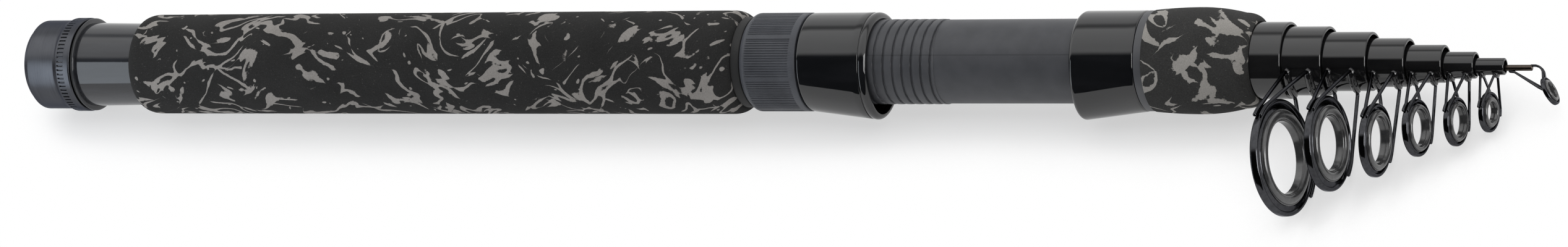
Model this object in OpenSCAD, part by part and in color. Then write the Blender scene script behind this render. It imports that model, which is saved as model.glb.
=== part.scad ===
// Telescopic fishing rod, collapsed, lying on its side with the line guides towards -Y.
// The rod's axis is the X axis, the tip is at +X and the origin is the middle of the rear grip.

/* [Grips] */
// Length of the rear grip
rear_grip_len = 208.8; // [160:0.1:280]
// Diameter of the rear grip
rear_grip_d = 31.1; // [30.4:0.1:34]
// Length of the rounding at the grips' ends
grip_round = 4.5; // [2:0.1:6]
// Depth of that rounding
grip_round_depth = 2.3; // [1:0.1:2.4]
// Length of the fore grip
fore_grip_len = 31.6; // [26:0.1:60]
// Diameter of the fore grip at its rear end
fore_grip_rear_d = 29.7; // [29.6:0.1:30.6]
// Largest diameter of the fore grip
fore_grip_peak_d = 31; // [30.8:0.1:34]
// Diameter of the fore grip before its front rounding
fore_grip_front_d = 27.7; // [27:0.1:29.5]
// Distance from the fore grip's rear end to its largest diameter
fore_grip_peak_x = 13.8; // [8:0.1:20]

/* [Reel seat] */
// Length of the check ring behind the lock nut
grip_ring_len = 1.5; // [1:0.1:4]
// Height of the check ring over the thread
grip_ring_rise = 1; // [0.6:0.05:1.8]
// Length of the lock nut
nut_len = 18.4; // [14:0.1:26]
// Wall of the lock nut over the thread
nut_wall = 2.15; // [1.8:0.05:3]
// Length of the bevel at the nut's rear
nut_bevel = 2.6; // [1:0.1:4]
// Groups of grip grooves round the nut
nut_groups = 7; // [4:1:9]
// Grooves in each group
nut_group_grooves = 8; // [3:1:9]
// Length of the sliding hood
hood_len = 22.6; // [18:0.1:32]
// Wall of both hoods over the thread, where they are round
hood_wall = 2.1; // [1.9:0.05:3]
// How far a hood's mouth stands out for the reel foot
hood_flare = 2.1; // [1.6:0.1:2.6]
// Height of the foot pocket over the barrel at the mouth
pocket_h = 3.1; // [2.4:0.1:3.4]
// Depth of the foot pocket
pocket_len = 14; // [10:0.5:16]
// Turn of the hoods' pockets above the horizontal
seat_turn = -28; // [-45:1:45]
// Diameter over the thread of the barrel
thread_d = 25.2; // [22:0.1:29]
// Pitch of the seat's thread
thread_pitch = 3; // [2:0.1:4]
// Depth of the seat's thread
thread_depth = 0.5; // [0.3:0.05:0.6]
// Length of thread that shows in front of the sliding hood
thread_show = 20.3; // [10:0.1:30]
// Diameter of the barrel in front of the thread
barrel_d = 24.8; // [22:0.1:28]
// Wall of the barrel over the outer tube's front end
barrel_wall = 1.3; // [1.1:0.05:2]
// Open length between the two hoods
seat_gap = 62.7; // [50:0.1:90]
// Length of the fixed front hood
front_hood_len = 21.3; // [16.5:0.1:28]
// Length of the ring in front of the front hood
hood_ring_len = 2.4; // [1:0.1:6]
// Diameter of that ring
hood_ring_d = 29.3; // [28:0.1:29.5]
// Width of the barrel's key slot
key_w = 3; // [2:0.1:5]
// Depth of the barrel's key slot
key_depth = 0.4; // [0.3:0.05:0.5]

/* [Butt end] */
// Wall of the screw cap over its thread
cap_wall = 1.5; // [1.2:0.05:2.5]
// Length of the cap from its rim to its edge
cap_len = 16.6; // [13:0.1:24]
// Height of the cap's domed end
cap_dome = 3; // [1.5:0.1:5]
// Height of the bead at the cap's rim
cap_bead = 0.75; // [0.5:0.05:1.2]
// Thickness of the cap's end
cap_end = 3; // [2:0.1:5]
// Number of slots round the cap
cap_slots = 76; // [40:2:90]
// Diameter of the stud in the cap's end
stud_d = 7; // [5:0.1:9]
// Height of the stud
stud_h = 2.4; // [1:0.1:4]
// Diameter of the sleeve's thread inside the cap
cap_thread_d = 25; // [22:0.05:28]
// Wall of that thread over the outer tube
sleeve_thread_wall = 0.8; // [0.6:0.05:1.5]
// Thickness of the seal under the cap's rim
seal_len = 0.9; // [0.6:0.1:1.5]
// Height of the sleeve's flange over its thread
flange_rise = 2.1; // [1.6:0.05:3]
// Length of the sleeve's flange
flange_len = 1.5; // [1.2:0.1:6]
// Length of the sleeve that shows behind the rear grip
sleeve_show = 20.3; // [10:0.1:30]
// Wall of the sleeve at the rear grip, over the outer tube's rear end
sleeve_wall = 1.15; // [0.8:0.05:1.6]
// How much wider the sleeve is at its flange
sleeve_taper = 0.6; // [0:0.05:1]
// Length of the sleeve inside the rear grip
sleeve_tuck = 15; // [8:0.5:30]

/* [Sections] */
// Length of the outer tube in front of the fore grip
blank_nose = 9.3; // [6:0.1:20]
// How much wider the outer tube is at its rear end
blank_taper = 1.2; // [0.8:0.05:1.5]
// Front diameter of each inner tube as a share of the one round it
section_share = [0.8937, 0.8548, 0.8214, 0.7782, 0.7076, 0.635]; // [0.6:0.0001:0.9]
// Wall thickness of the tubes, from the outer one inwards
section_wall = [0.8, 0.8, 0.8, 0.8, 0.75, 0.7, 0.65]; // [0.5:0.05:1]
// Length of each inner tube that shows when the rod is collapsed
section_nose = [11.7, 12.8, 10.7, 10.4, 8.8, 8.4]; // [7:0.1:20]
// Diameter of the tip's front end
tip_d = 1.2; // [0.9:0.05:1.4]
// Length that stays inside the next tube when a section is drawn out
overlap = 35; // [25:1:60]
// Clearance between two sections when drawn out
section_clearance = 0.06; // [0.05:0.01:0.1]
// Thickness of the rubber bumper inside the cap
bumper_len = 2.6; // [1.5:0.1:5]

/* [Guides] */
// Distance of each guide's ring from the rod's axis
guide_reach = [37.8, 32, 27.7, 21.7, 17.4, 13.2]; // [10:0.1:45]
// Diameter of each guide's ring
guide_ring_d = [33.4, 27.2, 21, 16.4, 14, 11.6]; // [8:0.1:40]
// Bore of each guide's insert
guide_bore_d = [20.7, 15.5, 13, 10.2, 8.5, 5.5]; // [4:0.1:25]
// Thickness of each guide's rim
guide_rim_t = [2.5, 2.3, 2.1, 1.9, 1.7, 1.5]; // [1:0.1:3]
// Wire diameter of each guide's frame
guide_wire_d = [1.05, 1, 0.95, 0.85, 0.8, 0.7]; // [0.5:0.05:1.3]
// Distance between the two feet of each guide
guide_foot_gap = [6.4, 7, 6.2, 5.8, 4.9, 4.2]; // [3:0.1:8]
// Turn of each guide above the horizontal
guide_turn = [3, 3, -3, -7, -17, -28]; // [-45:1:45]
// Distance of the rear foot from the tube behind it
foot_offset = 1.6; // [1.4:0.1:2.5]
// Distance of the ring's plane in front of the rear foot
ring_offset = 4.4; // [2.5:0.1:5]
// Lean of the rings, with the far edge towards the butt
ring_lean = 3; // [-6:0.5:6]
// Twist of the rings on their frames
ring_twist = 6; // [-8:0.5:8]
// Half angle of a wire foot round its tube
foot_angle = 31; // [20:1:45]

/* [Tip-top] */
// Diameter of the tip-top's tube
tip_tube_d = 1.75; // [1.7:0.05:2.2]
// Length of the tip-top's tube in front of the last tube
tip_tube_len = 7.8; // [5:0.1:14]
// Distance of the tip-top's ring from the rod's axis
tip_reach = 6.7; // [6:0.1:9]
// Diameter of the tip-top's ring
tip_ring_d = 8.6; // [7.6:0.1:10]
// Bore of the tip-top's insert
tip_bore_d = 4.5; // [3.5:0.1:5]
// Distance from the tube's front to the ring's middle
tip_ring_x = 5.6; // [4.8:0.1:8]
// Lean of the tip-top's ring, with the far edge forwards
tip_lean = 26; // [10:1:35]
// Turn of the tip-top above the horizontal
tip_turn = -30; // [-45:1:45]
// Wire diameter of the tip-top
tip_wire_d = 0.65; // [0.5:0.05:0.8]

/* [Hidden] */
$fn = 96;
guide_count = len(guide_reach);
section_count = len(section_wall);

// Glue line between bonded pieces, and clearances of the moving ones
glue_gap = 0.04;
run_gap = 0.08;
rest_gap = 0.1;
face_gap = 0.3;
bumper_entry = 0.5;
cut = 0.2;
// Share of a ring's width that its insert takes
insert_share = 0.27;
tip_rim_t = 1.2;

// Diameters that follow the threads and the barrel
seat_d = max(thread_d, barrel_d);
grip_ring_d = thread_d + 2 * grip_ring_rise;
nut_d = thread_d + 2 * nut_wall;
hood_d = seat_d + 2 * hood_wall;
cap_d = cap_thread_d + 2 * cap_wall;
cap_bead_d = cap_d + 2 * cap_bead;
flange_d = cap_thread_d + 2 * flange_rise;
// The outer tube fits inside the barrel and inside the sleeve's thread
blank_d = min(
    min(thread_d, barrel_d) - 2 * barrel_wall,
    cap_thread_d - 2 * sleeve_thread_wall - blank_taper);
blank_rear_d = blank_d + blank_taper;
sleeve_front_d = blank_rear_d + 2 * sleeve_wall;
sleeve_rear_d = sleeve_front_d + sleeve_taper;
function section_d(i) = i == 0 ? blank_d : section_d(i - 1) * section_share[i - 1];

// Stations along X
grip_rear_x = -rear_grip_len / 2;
grip_front_x = rear_grip_len / 2;
nut_x = grip_front_x + grip_ring_len + face_gap / 2;
hood_x = nut_x + nut_len + face_gap;
hood_front_x = hood_x + hood_len;
thread_end_x = hood_front_x + thread_show;
front_hood_x = hood_front_x + seat_gap;
hood_ring_x = front_hood_x + front_hood_len;
fore_grip_x = hood_ring_x + hood_ring_len;
fore_grip_end_x = fore_grip_x + fore_grip_len;
blank_front_x = fore_grip_end_x + blank_nose;
flange_x = grip_rear_x - sleeve_show;
cap_rim_x = flange_x - seal_len - face_gap / 3;
cap_edge_x = cap_rim_x - cap_len;
cap_floor_x = cap_edge_x + cap_end;
bumper_front_x = cap_floor_x + bumper_len;
sections_rear_x = bumper_front_x + face_gap;
blank_rear_x = bumper_front_x - bumper_entry;

// Front end of tube i, where 0 is the outer tube
function front_x(i) = i == 0 ? blank_front_x : front_x(i - 1) + section_nose[i - 1];
function rear_x(i) = i == 0 ? blank_rear_x : sections_rear_x;
tip_front_x = front_x(section_count - 1) + tip_tube_len;
function end_x(i) = i == section_count ? tip_front_x : front_x(i);

// Outer radius of tube i at its front and rear, and anywhere along it
function front_r(i) = (i == section_count ? tip_d : section_d(i)) / 2;
function taper(i) = (rear_r(i) - front_r(i)) / (end_x(i) - rear_x(i));
function rear_r(i) =
    i == 0 ? blank_rear_d / 2
    : front_r(i - 1) - section_wall[i - 1] + taper(i - 1) * overlap - section_clearance;
function tube_r(i, x) = front_r(i) + taper(i) * (end_x(i) - x);
function blank_seat(x) = tube_r(0, x) + glue_gap;

// Collapsed, each inner tube lies on the floor of the one round it and so sits lower than its axis.
// Drawn out, it centres itself again.
function mouth_r(i) =
    max(i == section_count ? tip_tube_d / 2 : 0, tube_r(i, front_x(i - 1)));
function drop(i) = min(
    front_r(i - 1) - section_wall[i - 1] - mouth_r(i),
    tube_r(i - 1, sections_rear_x) - section_wall[i - 1] - rear_r(i)) - rest_gap;
function total_drop(i) = i == 0 ? 0 : total_drop(i - 1) + drop(i);
module lowered(i) translate([0, 0, -total_drop(i)]) children();

// Points of an arc in a turned profile, as [x, radius], and of an oval one
function arc(x, r, size, from, to, steps = 8) = oval(x, r, size, size, from, to, steps);
function oval(x, r, len, depth, from, to, steps = 8) =
    [for (i = [0:steps]) let (a = from + (to - from) * i / steps) [x + len * cos(a), r + depth * sin(a)]];

// Solid of revolution about the X axis from a profile of [x, radius]
module turned(profile)
    rotate([0, 90, 0]) rotate_extrude() polygon([for (p = profile) [p[1], p[0]]]);

// Round bar along X
module bar(x0, x1, r) translate([x0, 0, 0]) rotate([0, 90, 0]) cylinder(h = x1 - x0, r = r);

// Closed skin over rings of points, which run anticlockwise seen against the direction they follow
module skin(rings) {
    sides = len(rings[0]);
    last = len(rings) - 1;
    walls = [for (i = [0:last - 1], s = [0:sides - 1])
        let (p = i * sides + s, q = i * sides + (s + 1) % sides)
        each [[p, p + sides, q + sides], [p, q + sides, q]]];
    start_cap = [for (s = [1:sides - 2]) [0, s, s + 1]];
    end_cap = [for (s = [1:sides - 2]) [last * sides, last * sides + s + 1, last * sides + s]];
    polyhedron([for (ring = rings, p = ring) p], concat(walls, start_cap, end_cap));
}

// Tube swept along a path, with the reference direction that sets its sides
function unit(v) = v / norm(v);
module wire(path, r, ref, sides = 8) {
    last = len(path) - 1;
    skin([for (i = [0:last])
        let (t = unit(path[min(i + 1, last)] - path[max(i - 1, 0)]),
             a = unit(cross(ref, t)),
             b = cross(t, a))
        [for (s = [0:sides - 1]) path[i] + r * (cos(s * 360 / sides) * a + sin(s * 360 / sides) * b)]]);
}

// Handle

module butt_blank() color("#17181b") hollow_section(0);

module hollow_section(i) {
    edge = 0.25;
    x0 = rear_x(i);
    x1 = front_x(i);
    turned([
        [x0, tube_r(i, x0) - section_wall[i]], [x0, tube_r(i, x0)],
        [x1 - edge, tube_r(i, x1 - edge)], [x1, front_r(i) - edge], [x1, front_r(i) - section_wall[i]]]);
}

module butt_sleeve() color("#3a3d46") {
    edge = 0.7;
    step = (flange_d - sleeve_rear_d) / 2;
    tuck_x = grip_rear_x + sleeve_tuck;
    lead = 0.4;
    turned(concat(
        [[blank_rear_x, blank_seat(blank_rear_x)], [blank_rear_x, cap_thread_d / 2 - lead],
         [blank_rear_x + lead, cap_thread_d / 2], [flange_x, cap_thread_d / 2]],
        arc(flange_x + edge, flange_d / 2 - edge, edge, 180, 90),
        oval(flange_x + edge, flange_d / 2 - step, flange_len - edge, step, 80, 0),
        [[grip_rear_x, sleeve_front_d / 2],
         [tuck_x, sleeve_front_d / 2], [tuck_x, blank_seat(tuck_x)]]));
}

module rear_grip() color("#2c2b2a") {
    r = rear_grip_d / 2;
    tuck_x = grip_rear_x + sleeve_tuck + glue_gap;
    turned(concat(
        [[grip_rear_x, sleeve_front_d / 2 + glue_gap]],
        oval(grip_rear_x + grip_round, r - grip_round_depth, grip_round, grip_round_depth, 180, 90),
        oval(grip_front_x - grip_round, r - grip_round_depth, grip_round, grip_round_depth, 90, 0),
        [[grip_front_x, blank_seat(grip_front_x)], [tuck_x, blank_seat(tuck_x)],
         [tuck_x, sleeve_front_d / 2 + glue_gap]]));
}

module grip_ring() color("#202124") {
    x1 = grip_front_x + grip_ring_len;
    edge = 0.3;
    turned([
        [grip_front_x, blank_seat(grip_front_x)], [grip_front_x, grip_ring_d / 2],
        [x1 - edge, grip_ring_d / 2], [x1, grip_ring_d / 2 - edge], [x1, blank_seat(x1)]]);
}

// Left-hand helical groove of the seat's thread
module thread_groove() {
    steps = 24;
    start_x = nut_x + thread_pitch / 2;
    turns = floor((thread_end_x - start_x) / thread_pitch);
    root_r = thread_d / 2 - thread_depth;
    top_r = thread_d / 2 + cut;
    groove_share = 0.3;
    half_w = thread_pitch * groove_share / 2;
    last = turns * steps;
    function station(i) = start_x + thread_pitch * i / steps;
    function spot(x, r, a) = [x, -r * sin(a), r * cos(a)];
    points = [for (i = [0:last]) let (a = -360 * i / steps, x = station(i))
        each [spot(x, root_r, a), spot(x - half_w, top_r, a), spot(x + half_w, top_r, a)]];
    walls = [for (i = [0:last - 1], s = [0:2])
        let (p = i * 3 + s, q = i * 3 + (s + 1) % 3)
        each [[p, q + 3, q], [p, p + 3, q + 3]]];
    polyhedron(points, concat(walls, [[0, 1, 2]], [[last * 3, last * 3 + 2, last * 3 + 1]]));
}

module seat_barrel() color("#484b52") {
    barrel_x = grip_front_x + grip_ring_len;
    edge = 0.4;
    difference() {
        turned([
            [barrel_x, blank_seat(barrel_x)], [barrel_x, thread_d / 2 - edge],
            [barrel_x + edge, thread_d / 2], [thread_end_x, thread_d / 2],
            [thread_end_x + edge, barrel_d / 2],
            [hood_ring_x, barrel_d / 2], [hood_ring_x, blank_seat(hood_ring_x)]]);
        thread_groove();
        rotate([-seat_turn, 0, 0]) translate([nut_x, thread_d / 2 - key_depth, -key_w / 2])
            cube([front_hood_x - nut_x, thread_d, key_w]);
    }
}

// Outer form of a hood from its round end at x = 0 to its flared mouth at x = length
module hood_form(length) {
    sides = 72;
    lip = 0.9;
    lip_r = hood_d / 2 - lip;
    groove_back = 2.6;
    groove_depth = 0.25;
    groove_x = length - groove_back;
    groove_w = 0.35;
    groove_r = hood_d / 2 - groove_depth;
    profile = concat(
        arc(lip, lip_r, lip, 180, 90, 3),
        [[groove_x, hood_d / 2], [groove_x, groove_r], [groove_x + groove_w, groove_r],
         [groove_x + groove_w, hood_d / 2]],
        arc(length - lip, lip_r, lip, 90, 0, 4));
    skin([for (p = profile)
        [for (i = [0:sides - 1])
            let (a = (i + 0.5) * 360 / sides,
                 flare = cos(a) < 0 ? hood_flare * p[0] / length : 0)
            [p[0], p[1] * cos(a) - flare, p[1] * sin(a)]]]);
}

// Room for the reel foot: a tilted bore, a little narrower than the hood's own, that opens at the mouth
module foot_pocket(length, bore_r) {
    inset = 0.4;
    tilt = atan((pocket_h + inset) / pocket_len);
    intersection() {
        translate([length - pocket_len, 0, 0]) rotate([0, 0, -tilt])
            bar(0, pocket_len + hood_d, bore_r - inset);
        bar(length - pocket_len, length + cut, hood_d);
    }
}

module hood(length, bore_r) {
    difference() {
        hood_form(length);
        bar(-cut, length + cut, bore_r);
        foot_pocket(length, bore_r);
    }
}

module front_hood() color("#121214")
    rotate([-seat_turn, 0, 0]) translate([hood_ring_x, 0, 0]) mirror([1, 0, 0])
        hood(front_hood_len, barrel_d / 2 + glue_gap);

module hood_ring() color("#50535a") {
    x1 = hood_ring_x + hood_ring_len;
    edge = 0.2;
    turned([
        [hood_ring_x, blank_seat(hood_ring_x)], [hood_ring_x, hood_ring_d / 2 - edge],
        [hood_ring_x + edge, hood_ring_d / 2], [x1, hood_ring_d / 2], [x1, blank_seat(x1)]]);
}

// Parabola from the fore grip's largest radius to one of its ends, for t from 0 to 1
function swell(end_x, end_r, t) =
    let (peak_x = fore_grip_x + fore_grip_peak_x, peak_r = fore_grip_peak_d / 2)
    [peak_x + (end_x - peak_x) * t, peak_r + (end_r - peak_r) * t * t];

module fore_grip() color("#2c2b2a") {
    round_x = fore_grip_end_x - grip_round;
    steps = 6;
    turned(concat(
        [[fore_grip_x, blank_seat(fore_grip_x)]],
        [for (i = [0:steps]) swell(fore_grip_x, fore_grip_rear_d / 2, 1 - i / steps)],
        [for (i = [1:steps - 1]) swell(round_x, fore_grip_front_d / 2, i / steps)],
        oval(round_x, fore_grip_front_d / 2 - grip_round_depth, grip_round, grip_round_depth, 90, 0),
        [[fore_grip_end_x, blank_seat(fore_grip_end_x)]]));
}

// Butt cap

module cap_seal() color("#101012") {
    x0 = cap_rim_x + face_gap / 6;
    lip = 0.5;
    turned([
        [x0, cap_thread_d / 2 + run_gap], [x0, flange_d / 2 - lip],
        [x0 + seal_len, flange_d / 2 - lip], [x0 + seal_len, cap_thread_d / 2 + run_gap]]);
}

module butt_cap() color("#4b505b") {
    r = cap_d / 2;
    edge = 1.2;
    bead_r = cap_bead_d / 2;
    bead_len = 3.2;
    bead_edge = 0.5;
    slot_len = 2.6;
    slot_w = 0.55;
    slot_depth = 0.35;
    margin = 0.5;
    rise_x = cap_rim_x - bead_len - slot_len - margin;
    rise_angle = atan((bead_r - r) / (cap_rim_x - bead_len - rise_x));
    spot_r = stud_d / 2 + margin;
    shank_r = stud_d / 4;
    dome_r = r - edge;
    steps = 6;
    difference() {
        turned(concat(
            [[cap_floor_x, shank_r + glue_gap], [cap_edge_x - cap_dome, shank_r + glue_gap],
             [cap_edge_x - cap_dome, spot_r]],
            [for (i = [1:steps]) let (a = 90 * i / steps)
                [cap_edge_x - cap_dome * cos(a), spot_r + (dome_r - spot_r) * sin(a)]],
            arc(cap_edge_x + edge, r - edge, edge, 180, 90, 6),
            [[rise_x, r], [cap_rim_x - bead_len, bead_r]],
            arc(cap_rim_x - bead_edge, bead_r - bead_edge, bead_edge, 90, 0, 6),
            [[cap_rim_x, cap_thread_d / 2 + run_gap], [cap_floor_x, cap_thread_d / 2 + run_gap]]));
        for (i = [0:cap_slots - 1])
            rotate([i * 360 / cap_slots, 0, 0]) translate([rise_x, r - slot_depth, -slot_w / 2])
                rotate([0, 0, rise_angle]) cube([slot_len, r, slot_w]);
    }
}

module cap_stud() color("#b9bcc0") {
    head_x = cap_edge_x - cap_dome;
    shank_r = stud_d / 4;
    steps = 6;
    turned(concat(
        [[cap_floor_x, 0], [cap_floor_x, shank_r], [head_x, shank_r]],
        [for (i = [0:steps]) let (a = 90 * i / steps)
            [head_x - stud_h * sin(a), stud_d / 2 * cos(a)]]));
}

module cap_bumper() color("#1b1b1b") {
    bumper_r = tube_r(0, blank_rear_x) - section_wall[0] - face_gap;
    edge = 0.4;
    turned([
        [cap_floor_x, 0], [cap_floor_x, bumper_r], [bumper_front_x - edge, bumper_r],
        [bumper_front_x, bumper_r - edge], [bumper_front_x, 0]]);
}

// Moving pieces of the reel seat

module sliding_hood() color("#121214") {
    bore_r = seat_d / 2 + run_gap;
    key_r = thread_d / 2 - key_depth + run_gap;
    rotate([-seat_turn, 0, 0]) {
        translate([hood_x, 0, 0]) hood(hood_len, bore_r);
        translate([hood_x + face_gap, key_r, -key_w / 2 + run_gap])
            cube([hood_len / 2, bore_r + face_gap - key_r, key_w - 2 * run_gap]);
    }
}

module lock_nut() color("#4a4d54") {
    r = nut_d / 2;
    bore_r = thread_d / 2 + run_gap;
    nut_front_x = nut_x + nut_len;
    rear_r = grip_ring_d / 2;
    edge = 0.4;
    rim = 1.9;
    groove_w = 0.4;
    groove_depth = 0.3;
    groove_step = 4.6;
    groove_x = nut_x + nut_bevel + edge;
    difference() {
        turned([
            [nut_x, bore_r], [nut_x, rear_r], [nut_x + nut_bevel, r], [nut_front_x - edge, r],
            [nut_front_x, r - edge], [nut_front_x, bore_r]]);
        for (g = [0:nut_groups - 1], i = [0:nut_group_grooves - 1])
            rotate([g * 360 / nut_groups + i * groove_step, 0, 0])
                translate([groove_x, r - groove_depth, -groove_w / 2])
                    cube([nut_front_x - rim - groove_x, r, groove_w]);
    }
}

// Sections

module section(i) color("#17181b") lowered(i) hollow_section(i);

module tip_blank() color("#17181b") lowered(section_count) {
    x0 = sections_rear_x;
    x1 = tip_front_x - tip_tube_d / 2;
    turned([
        [x0, 0], [x0, tube_r(section_count, x0)], [x1, tube_r(section_count, x1)], [x1, 0]]);
}

// Guides

// Middle of guide g's ring along X, and the frame of that ring
function foot_x(g) = front_x(g) + foot_offset;
function ring_x(g) = foot_x(g) + ring_offset * guide_foot_gap[g] / guide_foot_gap[0];
module at_guide(g) lowered(g + 1) rotate([-guide_turn[g], 0, 0]) children();
module at_ring(g)
    at_guide(g) translate([ring_x(g), -guide_reach[g], 0])
        rotate([0, -ring_twist, -ring_lean]) rotate([0, 90, 0]) children();

// Radius at which the rim holds the insert
function insert_r(g) = guide_bore_d[g] / 2 + (guide_ring_d[g] - guide_bore_d[g]) * insert_share;

// Turned ring about Z from a profile of [radius, height]
module guide_rim_form(ring_r, seat_r, t) {
    edge = t * 0.3;
    dish_r = (ring_r + seat_r) / 2;
    rotate_extrude() polygon([
        [seat_r, -t / 2], [ring_r - edge, -t / 2], [ring_r, -t / 2 + edge], [ring_r, t / 2 - edge],
        [ring_r - edge, t / 2], [dish_r, t / 2 - edge], [seat_r, t / 2 - edge / 2]]);
}

module insert_form(seat_r, bore_r, t) {
    mid_r = (seat_r + bore_r) / 2;
    half_w = (seat_r - bore_r) * 0.4;
    bulge = t * 0.35;
    steps = 6;
    rotate_extrude() polygon(concat(
        [[bore_r, -t / 2], [mid_r, -t / 2 - bulge], [seat_r, -t / 2], [seat_r, t / 2]],
        [for (i = [0:steps]) let (a = 180 * i / steps) [mid_r + half_w * cos(a), t / 2 + bulge * sin(a)]],
        [[bore_r, t / 2 - bulge / 2]]));
}

// One wire stirrup of a guide: from the ring's upper side over the tube to its lower side
module stirrup(g, at_x, side) {
    wire_r = guide_wire_d[g] / 2;
    weld = wire_r * 0.4;
    seat_r = tube_r(g + 1, at_x) + wire_r + glue_gap;
    hold_r = guide_ring_d[g] / 2 + wire_r - weld;
    hold_x = ring_x(g) + side * (guide_rim_t[g] / 2 - weld);
    hold_angles = [-3, -9, -15, -21];
    arc_steps = 6;
    function on_ring(a, w) =
        let (du = hold_r * sin(a), dw = w * hold_r * cos(a))
        [hold_x - du * sin(ring_lean) - dw * sin(ring_twist), -guide_reach[g] - du, dw];
    function on_tube(a) = [at_x, -seat_r * cos(a), seat_r * sin(a)];
    path = concat(
        [for (a = hold_angles) on_ring(a, 1)],
        [for (i = [0:arc_steps]) on_tube(foot_angle * (1 - 2 * i / arc_steps))],
        [for (i = [len(hold_angles) - 1:-1:0]) on_ring(hold_angles[i], -1)]);
    wire(path, wire_r, [1, 0, 0]);
}

module guide_frame(g) color("#2b2d33") at_guide(g) {
    stirrup(g, foot_x(g), -1);
    stirrup(g, foot_x(g) + guide_foot_gap[g], 1);
}

module guide_rim(g) color("#2b2d33") at_ring(g)
    guide_rim_form(guide_ring_d[g] / 2, insert_r(g), guide_rim_t[g]);

module guide_insert(g) color("#3c3d40") at_ring(g)
    insert_form(insert_r(g) - glue_gap, guide_bore_d[g] / 2, guide_rim_t[g]);

// Lacquered binding over both feet of a guide
module guide_binding(g) color("#141417") at_guide(g) {
    cover = 0.1;
    bead_r = guide_wire_d[g] + cover;
    span = foot_angle + 4;
    steps = 8;
    for (x = [foot_x(g), foot_x(g) + guide_foot_gap[g]]) {
        seat_r = tube_r(g + 1, x - bead_r) + glue_gap;
        rotate([0, 90, 0]) rotate([0, 0, 270 - span]) rotate_extrude(angle = 2 * span)
            polygon([for (p = arc(x, seat_r, bead_r, 180, 0, steps)) [p[1], p[0]]]);
    }
}

// Tip-top

tip_seat_r = tip_bore_d / 2 + (tip_ring_d - tip_bore_d) * insert_share;
module at_tip() lowered(section_count) rotate([-tip_turn, 0, 0]) children();
module at_tip_ring()
    at_tip() translate([tip_front_x + tip_ring_x, -tip_reach, 0])
        rotate([0, 0, tip_lean]) rotate([0, 90, 0]) children();

module tip_top_tube() color("#3b332e") at_tip() {
    bore_r = tube_r(section_count, tip_front_x - tip_tube_len) + glue_gap;
    r = tip_tube_d / 2;
    edge = 0.2;
    inside = 1;
    x0 = tip_front_x - tip_tube_len - inside;
    x_end = tip_front_x - r + glue_gap;
    turned([
        [x0, bore_r], [x0, r], [tip_front_x - edge, r], [tip_front_x, r - edge],
        [tip_front_x, 0], [x_end, 0], [x_end, bore_r]]);
}

// Two pairs of wires: one bent over the tube's front to the ring's near edge, one braced to its sides
module tip_top_frame() color("#2b2d33") at_tip() {
    wire_r = tip_wire_d / 2;
    tube_side = tip_tube_d / 2;
    ring_r = tip_ring_d / 2;
    weld = wire_r * 0.4;
    overhang = 3.2;
    crown_y = tube_side - wire_r * 0.8;
    // Bend of the crown wires: share of the overhang, then drop and spread in wire radii
    crown_bend = [[0.3, 0, 1], [0.6, 1, 1], [0.85, 3, 1.5], [1, 5.5, 2.6]];
    crown_spread = wire_r * 4;
    brace_x = tip_front_x - tip_tube_len + 1.2;
    brace_y = -tube_side - wire_r + weld;
    brace_rise = weld;
    bend = wire_r * 4;
    hold_drop = wire_r;
    middle = [tip_front_x + tip_ring_x, -tip_reach, 0];
    near = middle + [-ring_r * sin(tip_lean), ring_r * cos(tip_lean) - wire_r, 0];
    for (side = [-1, 1]) {
        hold = middle + [-tip_rim_t / 4, -hold_drop, side * (ring_r + wire_r - weld)];
        crown = concat(
            [[tip_front_x - wire_r, crown_y, side * wire_r]],
            [for (p = crown_bend)
                [tip_front_x + overhang * p[0], crown_y - wire_r * p[1], side * wire_r * p[2]]],
            [near + [0, 0, side * crown_spread]]);
        wire(crown, wire_r, [0, 0, 1]);
        brace = [
            [brace_x, brace_y, side * wire_r],
            [brace_x + bend, brace_y - brace_rise, side * wire_r],
            hold + [-bend, bend / 2, -side * wire_r],
            hold];
        wire(brace, wire_r, [0, 1, 0]);
    }
}

module tip_top_rim() color("#2b2d33") at_tip_ring()
    guide_rim_form(tip_ring_d / 2, tip_seat_r, tip_rim_t);

module tip_top_insert() color("#3c3d40") at_tip_ring()
    insert_form(tip_seat_r - glue_gap, tip_bore_d / 2, tip_rim_t);

// Names of all nodes
SECTION_NODES = [for (i = [1:section_count - 1]) str("section_", i + 1)];
GUIDE_NODES = [for (g = [0:guide_count - 1], piece = ["frame", "rim", "insert", "binding"])
    str("guide_", g + 1, "_", piece)];

butt_blank();
butt_sleeve();
rear_grip();
grip_ring();
seat_barrel();
front_hood();
hood_ring();
fore_grip();
cap_seal();
butt_cap();
cap_stud();
cap_bumper();
sliding_hood();
lock_nut();
for (i = [1:section_count - 1]) section(i);
tip_blank();
for (g = [0:guide_count - 1]) {
    guide_frame(g);
    guide_rim(g);
    guide_insert(g);
    guide_binding(g);
}
tip_top_tube();
tip_top_frame();
tip_top_rim();
tip_top_insert();
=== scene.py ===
import bpy
import bmesh
from math import cos, pi, radians, sin
from mathutils import Matrix, Vector


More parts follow.
